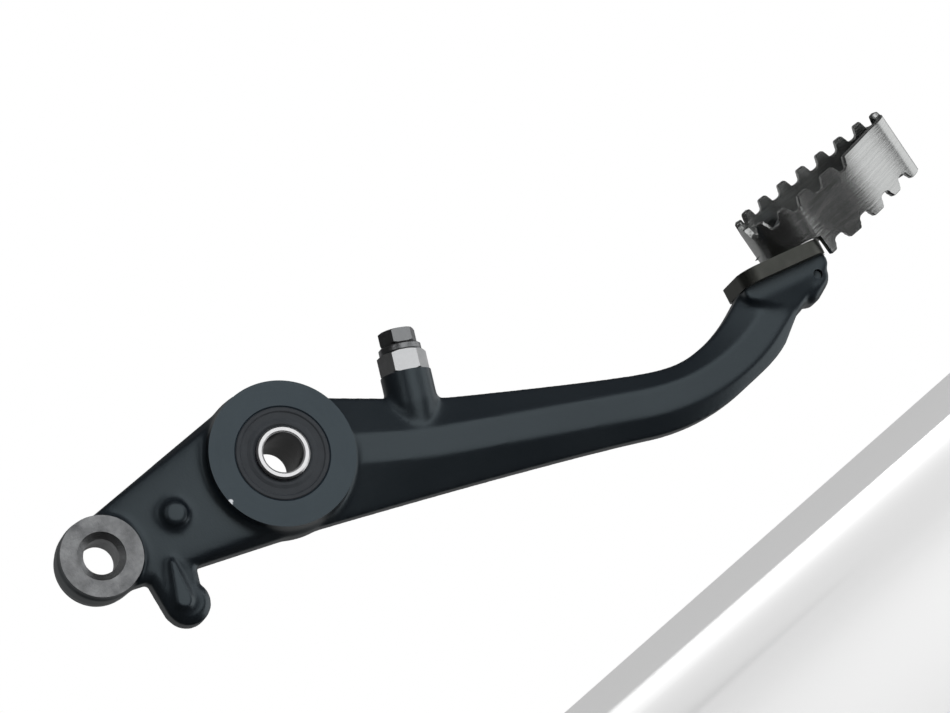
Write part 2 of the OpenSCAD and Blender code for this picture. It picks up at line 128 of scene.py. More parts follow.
# Material helpers: a node tree is built from these few calls
def put(tree, kind, values=None, **settings):
    """Adds a node, with values for its sockets and settings for its properties."""
    node = tree.nodes.new(kind)
    for key, value in settings.items():
        setattr(node, key, value)
    for key, value in (values or {}).items():
        node.inputs[key].default_value = value
    return node


def wire(tree, source, out, target, into):
    """Links an output of one node to an input of another."""
    tree.links.new(source.outputs[out], target.inputs[into])


def finish_of(name, colour, roughness, metallic=0.0, **sockets):
    """A new material, its node tree and its shader, with plain values to start from."""
    material = bpy.data.materials.new(name)
    material.use_nodes = True
    shader = material.node_tree.nodes["Principled BSDF"]
    shader.inputs["Base Color"].default_value = (*colour, 1)
    shader.inputs["Roughness"].default_value = roughness
    shader.inputs["Metallic"].default_value = metallic
    for key, value in sockets.items():
        shader.inputs[key.replace("_", " ")].default_value = value
    return material, material.node_tree, shader


def group(name, inputs, outputs):
    """A new node group with its input and output nodes; all its inputs are floats."""
    tree = bpy.data.node_groups.new(name, "ShaderNodeTree")
    for socket, default in inputs.items():
        made = tree.interface.new_socket(socket, in_out="INPUT", socket_type="NodeSocketFloat")
        made.default_value = default
    for socket, kind in outputs.items():
        tree.interface.new_socket(socket, in_out="OUTPUT", socket_type="NodeSocket" + kind)
    return tree, put(tree, "NodeGroupInput"), put(tree, "NodeGroupOutput")


def use(tree, made_group, values=None):
    """Places a node group in a tree."""
    node = put(tree, "ShaderNodeGroup")
    node.node_tree = made_group
    for key, value in (values or {}).items():
        node.inputs[key].default_value = value
    return node


# Cast or coated skin: cloudy tone and a fine pebble, from noise at two sizes
skin, skin_in, skin_out = group(
    "skin_grain", {"Cloud Scale": 60, "Pebble Scale": 900}, {"Cloud": "Float", "Pebble": "Float"})
place = put(skin, "ShaderNodeTexCoord")
for scale_name, out_name, detail in (("Cloud Scale", "Cloud", 4), ("Pebble Scale", "Pebble", 3)):
    noise = put(skin, "ShaderNodeTexNoise", {"Detail": detail, "Roughness": 0.55})
    wire(skin, place, "Object", noise, "Vector")
    wire(skin, skin_in, scale_name, noise, "Scale")
    wire(skin, noise, "Fac", skin_out, out_name)

# Worn edges: where a rounded normal leaves the true one, broken up by noise
wear, wear_in, wear_out = group(
    "edge_wear", {"Radius": 0.0004, "Amount": 1.0, "Break Up": 500}, {"Mask": "Float"})
rounded = put(wear, "ShaderNodeBevel", samples=6)
wire(wear, wear_in, "Radius", rounded, "Radius")
flat = put(wear, "ShaderNodeNewGeometry")
facing = put(wear, "ShaderNodeVectorMath", operation="DOT_PRODUCT")
wire(wear, rounded, "Normal", facing, 0)
wire(wear, flat, "Normal", facing, 1)
edge = put(wear, "ShaderNodeMapRange",
           {"From Min": 0.995, "From Max": 0.90, "To Min": 0.0, "To Max": 1.0})
wire(wear, facing, "Value", edge, "Value")
place = put(wear, "ShaderNodeTexCoord")
chips = put(wear, "ShaderNodeTexNoise", {"Detail": 5, "Roughness": 0.7})
wire(wear, place, "Object", chips, "Vector")
wire(wear, wear_in, "Break Up", chips, "Scale")
chipped = put(wear, "ShaderNodeMapRange", {"From Min": 0.45, "From Max": 0.62})
wire(wear, chips, "Fac", chipped, "Value")
both = put(wear, "ShaderNodeMath", operation="MULTIPLY")
wire(wear, edge, "Result", both, 0)
wire(wear, chipped, "Result", both, 1)
dose = put(wear, "ShaderNodeMath", operation="MULTIPLY", use_clamp=True)
wire(wear, both, "Value", dose, 0)
wire(wear, wear_in, "Amount", dose, 1)
wire(wear, dose, "Value", wear_out, "Mask")


def mixed_colour(tree, mask_node, mask_out, low, high):
    """A colour that goes from low, a colour or a socket, to high with the mask."""
    blend = put(tree, "ShaderNodeMix", data_type="RGBA")
    if isinstance(low, tuple):
        blend.inputs[6].default_value = (*low, 1)
    else:
        tree.links.new(low, blend.inputs[6])
    blend.inputs[7].default_value = (*high, 1)
    wire(tree, mask_node, mask_out, blend, 0)
    return blend.outputs[2]


def colour_between(tree, shader, mask_node, mask_out, low, high):
    """The same mixed colour, wired to the shader."""
    colour = mixed_colour(tree, mask_node, mask_out, low, high)
    tree.links.new(colour, shader.inputs["Base Color"])


def value_between(tree, mask_node, mask_out, low, high, shader, socket):
    """A value that goes from low to high with the mask, wired to a socket of the shader."""
    blend = put(tree, "ShaderNodeMapRange", {"To Min": low, "To Max": high})
    wire(tree, mask_node, mask_out, blend, "Value")
    wire(tree, blend, "Result", shader, socket)


def bumped(tree, shader, source, out, strength, depth, under=None):
    """Relief on the surface from a mask, over another relief if there is one."""
    relief = put(tree, "ShaderNodeBump", {"Strength": strength, "Distance": depth})
    wire(tree, source, out, relief, "Height")
    if under:
        wire(tree, under, "Normal", relief, "Normal")
    wire(tree, relief, "Normal", shader, "Normal")
    return relief


# Nicks: small spots where something struck the coat and left bare metal
nick, nick_in, nick_out = group("nick", {"X": 0, "Y": 0, "Z": 0, "Size": 0.001}, {"Mask": "Float"})
spot = put(nick, "ShaderNodeCombineXYZ")
for axis in "XYZ":
    wire(nick, nick_in, axis, spot, axis)
place = put(nick, "ShaderNodeTexCoord")
ragged = put(nick, "ShaderNodeTexNoise", {"Scale": 1100, "Detail": 3})
wire(nick, place, "Object", ragged, "Vector")
apart = put(nick, "ShaderNodeVectorMath", operation="DISTANCE")
wire(nick, place, "Object", apart, 0)
wire(nick, spot, "Vector", apart, 1)
share = put(nick, "ShaderNodeMath", operation="DIVIDE")
wire(nick, apart, "Value", share, 0)
wire(nick, nick_in, "Size", share, 1)
frayed = put(nick, "ShaderNodeMath", operation="ADD")
wire(nick, share, "Value", frayed, 0)
wire(nick, ragged, "Fac", frayed, 1)
near = put(nick, "ShaderNodeMapRange", {"From Min": 1.35, "From Max": 1.05})
wire(nick, frayed, "Value", near, "Value")
wire(nick, near, "Result", nick_out, "Mask")

# Satin black coat of the arm: cloudy tone, scuffed edges and one nick on the crest
NICK_ON_ARM, NICK_ON_HUB = drawn(77.9, 13.4, 7.2), drawn(-15.2, -15.6, HUB_HALF)
coated, tree, shader = finish_of("coated_arm_satin", (0.0105, 0.0135, 0.0165), 0.36,
                                 Specular_IOR_Level=0.95, Specular_Tint=(0.78, 0.93, 1, 1))
grain = use(tree, skin, {"Cloud Scale": 45, "Pebble Scale": 1500})
worn = use(tree, wear, {"Radius": 0.0006, "Amount": 0.2, "Break Up": 260})
struck = use(tree, nick, dict(zip("XYZ", NICK_ON_ARM), Size=0.0009))
tone = mixed_colour(tree, grain, "Cloud", (0.0030, 0.0048, 0.0075), (0.0062, 0.0082, 0.0108))
scuffed = mixed_colour(tree, worn, "Mask", tone, (0.06, 0.067, 0.074))
colour_between(tree, shader, struck, "Mask", scuffed, (0.22, 0.23, 0.24))
value_between(tree, grain, "Cloud", 0.30, 0.42, shader, "Roughness")
bumped(tree, shader, grain, "Pebble", strength=0.12, depth=0.0002)

# The same coat on the turned faces of the hub, over fine lathe marks
turned_coat, tree, shader = finish_of("coated_hub_face", (0.014, 0.018, 0.022), 0.36,
                                      Specular_IOR_Level=0.9, Specular_Tint=(0.8, 0.95, 1, 1))
grain = use(tree, skin, {"Cloud Scale": 70, "Pebble Scale": 1200})
struck = use(tree, nick, dict(zip("XYZ", NICK_ON_HUB), Size=0.0011))
tone = mixed_colour(tree, grain, "Cloud", (0.006, 0.0105, 0.0165), (0.011, 0.0165, 0.023))
colour_between(tree, shader, struck, "Mask", tone, (0.5, 0.51, 0.53))
value_between(tree, grain, "Cloud", 0.30, 0.44, shader, "Roughness")
place = put(tree, "ShaderNodeTexCoord")
lathe_marks = put(tree, "ShaderNodeTexWave", {"Scale": 110, "Distortion": 1.5, "Detail": 2},
                  wave_type="RINGS", rings_direction="Y")
wire(tree, place, "Object", lathe_marks, "Vector")
marks = bumped(tree, shader, lathe_marks, "Fac", strength=0.05, depth=0.0003)
bumped(tree, shader, grain, "Pebble", strength=0.1, depth=0.0002, under=marks)

# Bare metal of the link eye, its coat rubbed away by the clevis
worn_eye, tree, shader = finish_of("worn_eye_face", (0.36, 0.37, 0.38), 0.38, 1.0)
grain = use(tree, skin, {"Cloud Scale": 190, "Pebble Scale": 1500})
colour_between(tree, shader, grain, "Cloud", (0.05, 0.053, 0.058), (0.56, 0.57, 0.58))
value_between(tree, grain, "Pebble", 0.52, 0.30, shader, "Roughness")
bumped(tree, shader, grain, "Pebble", strength=0.25, depth=0.0003)


def lathed(name, profile, middle, axis, steps=128):
    """A closed solid of revolution from (radius, place along the axis) pairs."""
    turn = Vector((0, 0, 1)).rotation_difference(axis).to_matrix()
    mesh = bmesh.new()
    rings = []
    for radius, reach in profile:
        count = 1 if radius == 0 else steps
        rings.append([mesh.verts.new(middle + turn @ Vector((
            radius * math.cos(2 * math.pi * i / steps) * MM,
            radius * math.sin(2 * math.pi * i / steps) * MM, reach * MM)))
            for i in range(count)])
    for a, b in zip(rings, rings[1:]):
        for i in range(steps):
            j = (i + 1) % steps
            if len(a) == 1 and len(b) > 1:
                mesh.faces.new((a[0], b[i], b[j]))
            elif len(b) == 1 and len(a) > 1:
                mesh.faces.new((a[i], b[0], a[j]))
            elif len(a) > 1:
                mesh.faces.new((a[i], b[i], b[j], a[j]))
    bmesh.ops.recalc_face_normals(mesh, faces=mesh.faces[:])
    data = bpy.data.meshes.new(name)
    mesh.to_mesh(data)
    mesh.free()
    return bpy.data.objects.new(name, data)


across = Vector((0, -1, 0))
boss_axis = along(BOSS_ANGLE)
seat_normal = along(SEAT_ANGLE + 90)


def ease(k):
    """Goes from 0 to 1 with soft ends."""
    k = min(max(k, 0), 1)
    return k * k * (3 - 2 * k)


def arm_ring(s):
    """Section of the arm s millimetres along it: flat crests, bevels and narrow edges."""
    straight = min(s / ARM_RUN, 1)
    turned_by = min(max((s - ARM_RUN) / BEND_LEN, 0), 1)
    run, rise = heading(ARM_RISE)
    u = PIVOT_ABOVE * rise + min(s, ARM_RUN) * run
    v = -PIVOT_ABOVE * run + min(s, ARM_RUN) * rise
    nu, nv = heading(ARM_RISE + BEND_TURN * turned_by + 90)
    u, v = u + BEND_R * (-rise - nu), v + BEND_R * (run - nv)
    past = max(s - ARM_RUN - BEND_LEN, 0)
    u, v = u + past * nv, v - past * nu

    half = END_HALF + HUB_END_GAIN * (1 - straight) ** TAPER_POWER
    bend_share = (s - ARM_RUN) / BEND_LEN
    top = half + SHOULDER * max(1 - s / SHOULDER_RUN, 0) - BEND_SHIFT * ease(2 * bend_share)
    low = half + BEND_SHIFT * ease((bend_share - 0.65) / 0.35)
    low -= HEAD_SLIMMER * ease((s - HEAD_AT) / HEAD_LEN + 0.5)
    thick = ARM_THICK - ARM_THINNER * straight
    crest = (CREST_RISE * (1 - ease(s / SHOULDER_RUN))
             - CREST_FALL * ease((s - ARM_RUN) / (BEND_LEN + HEAD_RUN)))
    return [drawn(u + q * nu, v + q * nv, w) for q, w in (
        (top, EDGE_HALF), (top, -EDGE_HALF),
        (crest + CREST_HALF, -thick), (crest - CREST_HALF, -thick),
        (-low, -EDGE_HALF), (-low, EDGE_HALF),
        (crest - CREST_HALF, thick), (crest + CREST_HALF, thick))]


def round_rims(middle, radius, half, bevel):
    """Rim points of a round forging with bevelled sides."""
    return [drawn(middle[0] + r * math.cos(a), middle[1] + r * math.sin(a), w)
            for r, w in ((radius - bevel, half), (radius, EDGE_HALF), (radius, -EDGE_HALF),
                         (radius - bevel, -half))
            for a in np.linspace(0, 2 * math.pi, 40, endpoint=False)]


def add_hull(mesh, points):
    """Adds the smallest convex body round the points."""
    made = bmesh.ops.convex_hull(mesh, input=[mesh.verts.new(p) for p in points])
    bmesh.ops.delete(mesh, geom=made["geom_interior"], context="VERTS")


def on_seat(x, z):
    """Place on the toe seat: x along it from its middle, z out of it."""
    c, s = heading(SEAT_ANGLE)
    return SEAT[0] + x * c - z * s, SEAT[1] + x * s + z * c


forging = bmesh.new()
rings = [[forging.verts.new(p) for p in arm_ring(s)] for s in (
    *np.linspace(0, ARM_RUN, 15), *(ARM_RUN + BEND_LEN * np.linspace(0.05, 1, 20)),
    HEAD_AT, HEAD_AT + HEAD_LEN)]
for a, b in zip(rings, rings[1:]):
    for i in range(8):
        j = (i + 1) % 8
        forging.faces.new((a[i], b[i], b[j], a[j]))
forging.faces.new(rings[0])
forging.faces.new(rings[-1][::-1])

# Web from hub to eye, rim round the eye, spring lug and its rib
add_hull(forging, round_rims((0, 0), WEB_HUB_R, WEB_HUB_HALF, 2.5)
         + round_rims(EYE, WEB_EYE_R, WEB_HALF, 0.8))
add_hull(forging, round_rims(EYE, EYE_R - 0.05, EYE_HALF - 0.7, 0.8))
add_hull(forging, round_rims(LUG_ROOT, LUG_ROOT_R, LUG_HALF, LUG_BEVEL)
         + round_rims((LUG[0] - 1.2, LUG[1]), LUG_TIP_R - 0.8, LUG_HALF, LUG_BEVEL))
add_hull(forging, round_rims(LUG, LUG_TIP_R, LUG_HALF, LUG_BEVEL))
add_hull(forging, [drawn(u + r * math.cos(a), v + r * math.sin(a), w)
                   for u, v, top_r in ((LUG[0] - 1.8, LUG[1], RIB_TIP_R),
                                       (LUG_ROOT[0] - 0.7, LUG_ROOT[1] + 2.3, RIB_ROOT_R))
                   for r, w in ((top_r + 1.2, LUG_HALF - 1), (top_r + 0.9, LUG_HALF + 0.3),
                                (top_r, LUG_HALF + RIB_H))
                   for a in np.linspace(0, 2 * math.pi, 24, endpoint=False)])

# Pad under the toe seat, with stock on top, and the lobe below its front end
pad_end = SEAT_HALF_L - PAD_CORNER_R
pad = [point for z, bevel in ((-PAD_DROP, PAD_BEVEL), (STOCK - PAD_CORNER_R, 0))
       for x in (-pad_end, pad_end)
       for point in round_rims(on_seat(x, z), PAD_CORNER_R, PAD_HALF, bevel)]
neck_half = ARM_THICK - ARM_THINNER
add_hull(forging, pad + round_rims(on_seat(-1, -9), 4, neck_half, PAD_BEVEL))
lobe_at = on_seat(SEAT_HALF_L - LOBE_INSET, -LOBE_INSET)
add_hull(forging, round_rims(lobe_at, LOBE_R, LOBE_HALF, PAD_BEVEL)
         + round_rims(on_seat(SEAT_HALF_L - 8.5, -8), 4, neck_half, PAD_BEVEL))
solids = [
    lathed("hub_stock", [
        (0, -HUB_HALF - STOCK), (HUB_BACK_R, -HUB_HALF - STOCK), (HUB_BACK_R, -9.5), (21.4, -8),
        (HUB_WAIST_R, -EDGE_HALF), (HUB_WAIST_R, EDGE_HALF), (HUB_FACE_R, 7),
        (HUB_FACE_R, HUB_HALF + STOCK), (0, HUB_HALF + STOCK)], Vector(), across),
    lathed("eye_stock", [
        (0, -EYE_HALF - STOCK), (EYE_FACE_R, -EYE_HALF - STOCK),
        (EYE_FACE_R, EYE_HALF + STOCK), (0, EYE_HALF + STOCK)], drawn(*EYE), across),
    lathed("boss_stock", [
        (0, -BOSS_SUNK), (6.4, -BOSS_SUNK), (BOSS_R, -1), (BOSS_R, BOSS_H + STOCK),
        (0, BOSS_H + STOCK)], drawn(*BOSS_FOOT), boss_axis),
    lathed("pip_stock", PIP_PROFILE, drawn(*PIP), across)]
for solid in solids:
    forging.from_mesh(solid.data)
    bpy.data.objects.remove(solid)

arm_mesh = bpy.data.meshes.new("forged_arm")
forging.to_mesh(arm_mesh)
forging.free()
rough = bpy.data.objects.new("rough_forging", arm_mesh)
bpy.context.scene.collection.objects.link(rough)
voxels = rough.modifiers.new("voxels", "REMESH")
voxels.mode = "VOXEL"
voxels.voxel_size = VOXEL * MM
bpy.context.view_layer.update()
skin_mesh = bpy.data.meshes.new_from_object(
    rough.evaluated_get(bpy.context.evaluated_depsgraph_get()))
bpy.data.objects.remove(rough)


def relax(mesh, even, filling, convex_share):
    """Smooths a dense mesh: first evenly, then mostly where it is hollow, as a die leaves it."""
    count = len(mesh.vertices)
    at = np.empty(count * 3)
    mesh.vertices.foreach_get("co", at)
    at = at.reshape(-1, 3)
    pairs = np.empty(len(mesh.edges) * 2, int)
    mesh.edges.foreach_get("vertices", pairs)
    a, b = pairs.reshape(-1, 2).T
    links = np.bincount(a, minlength=count) + np.bincount(b, minlength=count)
    normals = np.empty(count * 3)
    for step in range(even + filling):
        total = np.stack([np.bincount(a, at[b, k], count) + np.bincount(b, at[a, k], count)
                          for k in range(3)], axis=1)
        move = total / links[:, None] - at
        if step >= even:
            if (step - even) % 4 == 0:
                mesh.vertices.foreach_set("co", at.ravel())
                mesh.update()
                mesh.vertices.foreach_get("normal", normals)
                out = normals.reshape(-1, 3)
            lift = np.einsum("ij,ij->i", move, out)
            move *= np.where(lift > 0, 1.0, convex_share)[:, None]
        at += 0.5 * move
    mesh.vertices.foreach_set("co", at.ravel())
    mesh.update()


relax(skin_mesh, even=2, filling=26, convex_share=0.08)
arm = bpy.data.objects.new("forged_arm", skin_mesh)
bpy.context.scene.collection.objects.link(arm)
arm.data.materials.clear()
for finish in (coated, turned_coat, worn_eye):
    arm.data.materials.append(finish)

# Machining: each cutter is a solid of revolution and leaves its own finish behind it. The
# outer radius of each one clears the face that it cuts.
HUB_CUT_R, EYE_CUT_R, BOSS_CUT_R, SEAT_CUT_R, DIMPLE_R = 30, 14, 12, 26, 1.5
deep, seat_mouth = HUB_HALF - SEAL_SEAT_DEEP, SEAL_SEAT_R + SEAT_BREAK
hub_cut = lathed("hub_cut", [
    (0, -HUB_HALF - 4), (HUB_CUT_R, -HUB_HALF - 4), (HUB_CUT_R, -HUB_HALF),
    (seat_mouth, -HUB_HALF),
    (SEAL_SEAT_R, SEAT_BREAK - HUB_HALF), (SEAL_SEAT_R, -deep), (CUP_SEAT_R, -deep),
    (CUP_SEAT_R, deep), (SEAL_SEAT_R, deep), (SEAL_SEAT_R, HUB_HALF - SEAT_BREAK),
    (seat_mouth, HUB_HALF), (HUB_CUT_R, HUB_HALF), (HUB_CUT_R, HUB_HALF + 4),
    (0, HUB_HALF + 4)],
    Vector(), across)
bored = EYE_HALF - EYE_CHAMFER_H
eye_cut = lathed("eye_cut", [
    (0, -EYE_HALF - 3), (EYE_CUT_R, -EYE_HALF - 3), (EYE_CUT_R, -EYE_HALF),
    (EYE_CHAMFER_R, -EYE_HALF), (EYE_BORE_R, -bored), (EYE_BORE_R, bored),
    (EYE_CHAMFER_R, EYE_HALF), (EYE_CUT_R, EYE_HALF), (EYE_CUT_R, EYE_HALF + 3),
    (0, EYE_HALF + 3)], drawn(*EYE), across)
boss_cut = lathed("boss_cut", [
    (0, -THREAD_HOLE_DEEP), (THREAD_HOLE_R, -THREAD_HOLE_DEEP),
    (THREAD_HOLE_R, BOSS_H - THREAD_HOLE_BREAK), (THREAD_HOLE_R + THREAD_HOLE_BREAK, BOSS_H),
    (BOSS_CUT_R, BOSS_H), (BOSS_CUT_R, BOSS_H + 5), (0, BOSS_H + 5)],
    drawn(*BOSS_FOOT), boss_axis, steps=64)
seat_cut = lathed("seat_cut", [(0, 0), (SEAT_CUT_R, 0), (SEAT_CUT_R, 8), (0, 8)],
                  drawn(*SEAT), seat_normal, steps=64)
toe_holes = [
    lathed("toe_screw_hole", [(0, -bite), (TOE_HOLE_R, -bite), (TOE_HOLE_R, 1), (0, 1)],
           drawn(*on_seat(x, 0)), seat_normal, steps=48) for x, bite in TOE_HOLES]
dimple_cut = lathed("dimple_cut", [(0, -2), (DIMPLE_R, -1.6), (DIMPLE_R, 2), (0, 2)],
                    drawn(*lobe_at, 7.2), across, steps=32)
cutters = bpy.data.collections.new("machining")
for cutter, finish in ((hub_cut, turned_coat), (eye_cut, worn_eye),
                       *((cutter, coated)
                         for cutter in (boss_cut, seat_cut, *toe_holes, dimple_cut))):
    cutter.data.materials.append(finish)
    cutters.objects.link(cutter)
bpy.context.scene.collection.children.link(cutters)
machining = arm.modifiers.new("machining", "BOOLEAN")
machining.operation = "DIFFERENCE"
machining.operand_type = "COLLECTION"
machining.collection = cutters
machining.solver = "EXACT"
machining.material_mode = "TRANSFER"
bpy.context.view_layer.update()
arm.data = bpy.data.meshes.new_from_object(
    arm.evaluated_get(bpy.context.evaluated_depsgraph_get()))
arm.modifiers.clear()
for cutter in list(cutters.objects):
    bpy.data.objects.remove(cutter)
bpy.data.collections.remove(cutters)
arm.data.name = "forged_arm"
arm.data.shade_smooth()
arm.data.set_sharp_from_angle(angle=math.radians(27))
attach(arm, "pedal")
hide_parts("pedal_arm")


def dress(node, *finishes):
    """Gives a CAD piece its finish in place of the plain one it was packed with."""
    data = frame["nodes"][node].data
    data.materials.clear()
    for finish in finishes:
        data.materials.append(finish)


# Pivot sleeve: hardened steel tube that stays clamped on the frame bolt while the arm
# swings round it. Its ends are ground and bright; its bore is painted near black as painted shade.
ground, tree, shader = finish_of("ground_steel", (0.86, 0.86, 0.87), 0.3, 1.0,
                                 Specular_IOR_Level=0.1)
grain = use(tree, skin, {"Cloud Scale": 200, "Pebble Scale": 3000})
place = put(tree, "ShaderNodeTexCoord")
radial = put(tree, "ShaderNodeVectorMath", {1: (1, 0, 1)}, operation="MULTIPLY")
wire(tree, place, "Object", radial, 0)
reach = put(tree, "ShaderNodeVectorMath", operation="LENGTH")
wire(tree, radial, "Vector", reach, 0)
# Painted shade: inside the bore radius the colour goes near black and not metallic
painted_bore_shade = put(tree, "ShaderNodeMapRange", {"From Min": 0.00635, "From Max": 0.00605})
wire(tree, reach, "Value", painted_bore_shade, "Value")
colour_between(tree, shader, painted_bore_shade, "Result", (0.86, 0.86, 0.87), (0.012, 0.013, 0.014))
value_between(tree, painted_bore_shade, "Result", 1.0, 0.0, shader, "Metallic")
value_between(tree, grain, "Cloud", 0.22, 0.36, shader, "Roughness")
dress("pivot_sleeve", ground)

# Needle bearing: a drawn cup pressed into the hub, a cage and its rollers, all of oiled
# steel. It runs on the sleeve, and the seals hide it.
drawn_steel, tree, shader = finish_of("drawn_steel", (0.45, 0.46, 0.47), 0.35, 1.0)
dress("needle_bearing_cup", drawn_steel)
cage_steel, tree, shader = finish_of("cage_steel", (0.30, 0.29, 0.25), 0.45, 1.0)
dress("needle_bearing_cage", cage_steel)
roller_steel, tree, shader = finish_of("roller_steel", (0.70, 0.71, 0.72), 0.15, 1.0)
dress("needle_rollers", roller_steel)

# Lip seals: black nitrile rings moulded on a steel case, with a garter spring behind the
# lip. One is pressed into each face of the hub.
rubber, tree, shader = finish_of("seal_rubber", (0.022, 0.023, 0.025), 0.62)
grain = use(tree, skin, {"Cloud Scale": 180, "Pebble Scale": 1800})
value_between(tree, grain, "Cloud", 0.52, 0.72, shader, "Roughness")
colour_between(tree, shader, grain, "Cloud", (0.014, 0.017, 0.021), (0.034, 0.038, 0.043))
for side in ("outer", "inner"):
    dress(side + "_seal", rubber)
    dress(side + "_seal_case", drawn_steel)
    dress(side + "_seal_spring", roller_steel)

# Stop screw and lock nut: zinc-plated steel. The screw has a rolled M8 thread below its
# collar and sets the height of the pedal; the nut locks it on the boss.
THREAD_R, THREAD_DEEP, PITCH, ROWS_A_PITCH, THREAD_COLUMNS = 3.97, 0.65, 1.25, 10, 36
THREAD_FLANK, THREAD_CREST = 2.6, 0.25
NUT_H, SHANK, NUT_TURN, SCREW_TURN = 6.5, 20.0, -15.5, -7.0


def zinc_finish(name, dull, bright):
    """Zinc plating, clouded between a dull and a bright grey."""
    finish, tree, shader = finish_of(name, bright, 0.34, 1.0)
    grain = use(tree, skin, {"Cloud Scale": 300, "Pebble Scale": 2600})
    colour_between(tree, shader, grain, "Cloud", dull, bright)
    value_between(tree, grain, "Cloud", 0.22, 0.40, shader, "Roughness")
    bumped(tree, shader, grain, "Pebble", strength=0.15, depth=0.0002)
    return finish


zinc = zinc_finish("zinc_plate", (0.58, 0.59, 0.60), (0.82, 0.83, 0.84))
dull_zinc = zinc_finish("dull_zinc", (0.22, 0.225, 0.23), (0.36, 0.37, 0.38))
for node in ("front_toe_screw", "rear_toe_screw"):
    dress(node, zinc)


def turned_copy(node, degrees):
    """A mesh like a CAD piece, turned about the axis of the stop screw."""
    mesh = bmesh.new()
    mesh.from_mesh(frame["nodes"][node].data)
    spin = Matrix.Rotation(math.radians(degrees), 3, boss_axis)
    bmesh.ops.rotate(mesh, cent=drawn(*BOSS_FOOT), matrix=spin, verts=mesh.verts)
    return mesh


def visible(mesh, name, finish, body, node):
    """Shows a mesh in place of a CAD piece, with its finish, and lets it ride on a body."""
    data = bpy.data.meshes.new(name)
    mesh.to_mesh(data)
    mesh.free()
    data.materials.clear()
    data.materials.append(finish)
    for face in data.polygons:
        face.material_index = 0
    data.shade_smooth()
    data.set_sharp_from_angle(angle=math.radians(32))
    made = bpy.data.objects.new(name, data)
    bpy.context.scene.collection.objects.link(made)
    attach(made, body)
    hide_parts(node)


visible(turned_copy("lock_nut", NUT_TURN), "hexagon_nut", zinc, "pedal", "lock_nut")

# The plain shank below the collar is cut off and a helical thread takes its place
screw = turned_copy("stop_screw", SCREW_TURN)
collar = BOSS_H + NUT_H
bmesh.ops.bisect_plane(screw, geom=screw.verts[:] + screw.edges[:] + screw.faces[:],
                       plane_co=drawn(*BOSS_FOOT) + boss_axis * (collar + 0.01) * MM,
                       plane_no=boss_axis, clear_inner=True)
bmesh.ops.holes_fill(screw, edges=[e for e in screw.edges if e.is_boundary])
turn = Vector((0, 0, 1)).rotation_difference(boss_axis).to_matrix()
rows = int((collar + SHANK) / PITCH * ROWS_A_PITCH)
grid = []
for i in range(rows + 1):
    reach = -SHANK + (collar + SHANK) * i / rows
    ring = []
    for j in range(THREAD_COLUMNS):
        phase = (reach / PITCH - j / THREAD_COLUMNS) % 1
        flank = min(max(abs(phase - 0.5) * THREAD_FLANK - THREAD_CREST, 0), 1)
        radius = THREAD_R - THREAD_DEEP * flank
        a = 2 * math.pi * j / THREAD_COLUMNS
        ring.append(screw.verts.new(drawn(*BOSS_FOOT) + turn @ Vector(
            (radius * math.cos(a), radius * math.sin(a), reach)) * MM))
    grid.append(ring)
for low, high in zip(grid, grid[1:]):
    for j in range(THREAD_COLUMNS):
        k = (j + 1) % THREAD_COLUMNS
        screw.faces.new((low[j], low[k], high[k], high[j]))
screw.faces.new(grid[0][::-1])
visible(screw, "threaded_stop_screw", dull_zinc, "stop_screw", "stop_screw")

# Toe base: a steel plate with a dull plating, welded under the tread loop. Two countersunk
# screws hold it on the seat of the arm.
plate, tree, shader = finish_of("base_steel", (0.20, 0.205, 0.185), 0.45, 1.0)
grain = use(tree, skin, {"Cloud Scale": 160, "Pebble Scale": 2000})
colour_between(tree, shader, grain, "Cloud", (0.075, 0.078, 0.072), (0.14, 0.144, 0.13))
dress("toe_base", plate)

# Tread loop: stainless strip cut with teeth on both edges, bent to a closed loop, welded
# to the base plate and brushed along its length. Teeth differ on the two long walls.
brush, brush_in, brush_out = group("brush_lines", {"Tilt": 0, "Fine": 1500}, {"Lines": "Float"})
place = put(brush, "ShaderNodeTexCoord")
lean = put(brush, "ShaderNodeVectorRotate", {"Axis": (1, 0, 0)}, rotation_type="AXIS_ANGLE")
wire(brush, place, "Object", lean, "Vector")
wire(brush, brush_in, "Tilt", lean, "Angle")
stretch = put(brush, "ShaderNodeVectorMath", {1: (0.035, 0.035, 1)}, operation="MULTIPLY")
wire(brush, lean, "Vector", stretch, 0)
streaks = put(brush, "ShaderNodeTexNoise", {"Detail": 5, "Roughness": 0.65})
wire(brush, stretch, "Vector", streaks, "Vector")
wire(brush, brush_in, "Fine", streaks, "Scale")
wire(brush, streaks, "Fac", brush_out, "Lines")

brushed, tree, shader = finish_of("brushed_stainless", (0.60, 0.61, 0.62), 0.3, 1.0)
lines = use(tree, brush, {"Tilt": math.radians(-17), "Fine": 1600})
colour_between(tree, shader, lines, "Lines", (0.44, 0.45, 0.44), (0.70, 0.71, 0.71))
value_between(tree, lines, "Lines", 0.18, 0.30, shader, "Roughness")
bumped(tree, shader, lines, "Lines", strength=0.35, depth=0.0002)

# The loop seen from above is a long drop: a wide round nose, two walls that close in, and
# a narrow round front. It leans outwards by TILT and its skirt stands on the sloping plate.
TILT = math.radians(17)
NOSE_R, FRONT_R, LOOP_L, WALL_T, RIM = 12.5, 6.0, 59.98, 2.0, 0.25
SPAN = LOOP_L - NOSE_R - FRONT_R
TAPER = math.asin((NOSE_R - FRONT_R) / SPAN)
NOSE_ARC = NOSE_R * (math.pi / 2 + TAPER)
WALL = SPAN * math.cos(TAPER)
FRONT_ARC = FRONT_R * (math.pi / 2 - TAPER)
STRIP_LIFT, PLATE_TOP, PLATE_SLOPE = 1.0, 4.6, math.radians(15)
PLATE_END = NOSE_R - 0.5
SKIRT_END, BULGE, COLUMN_STEP, LOWER_DEEP = 2.7, 2.2, 0.8, 3.2


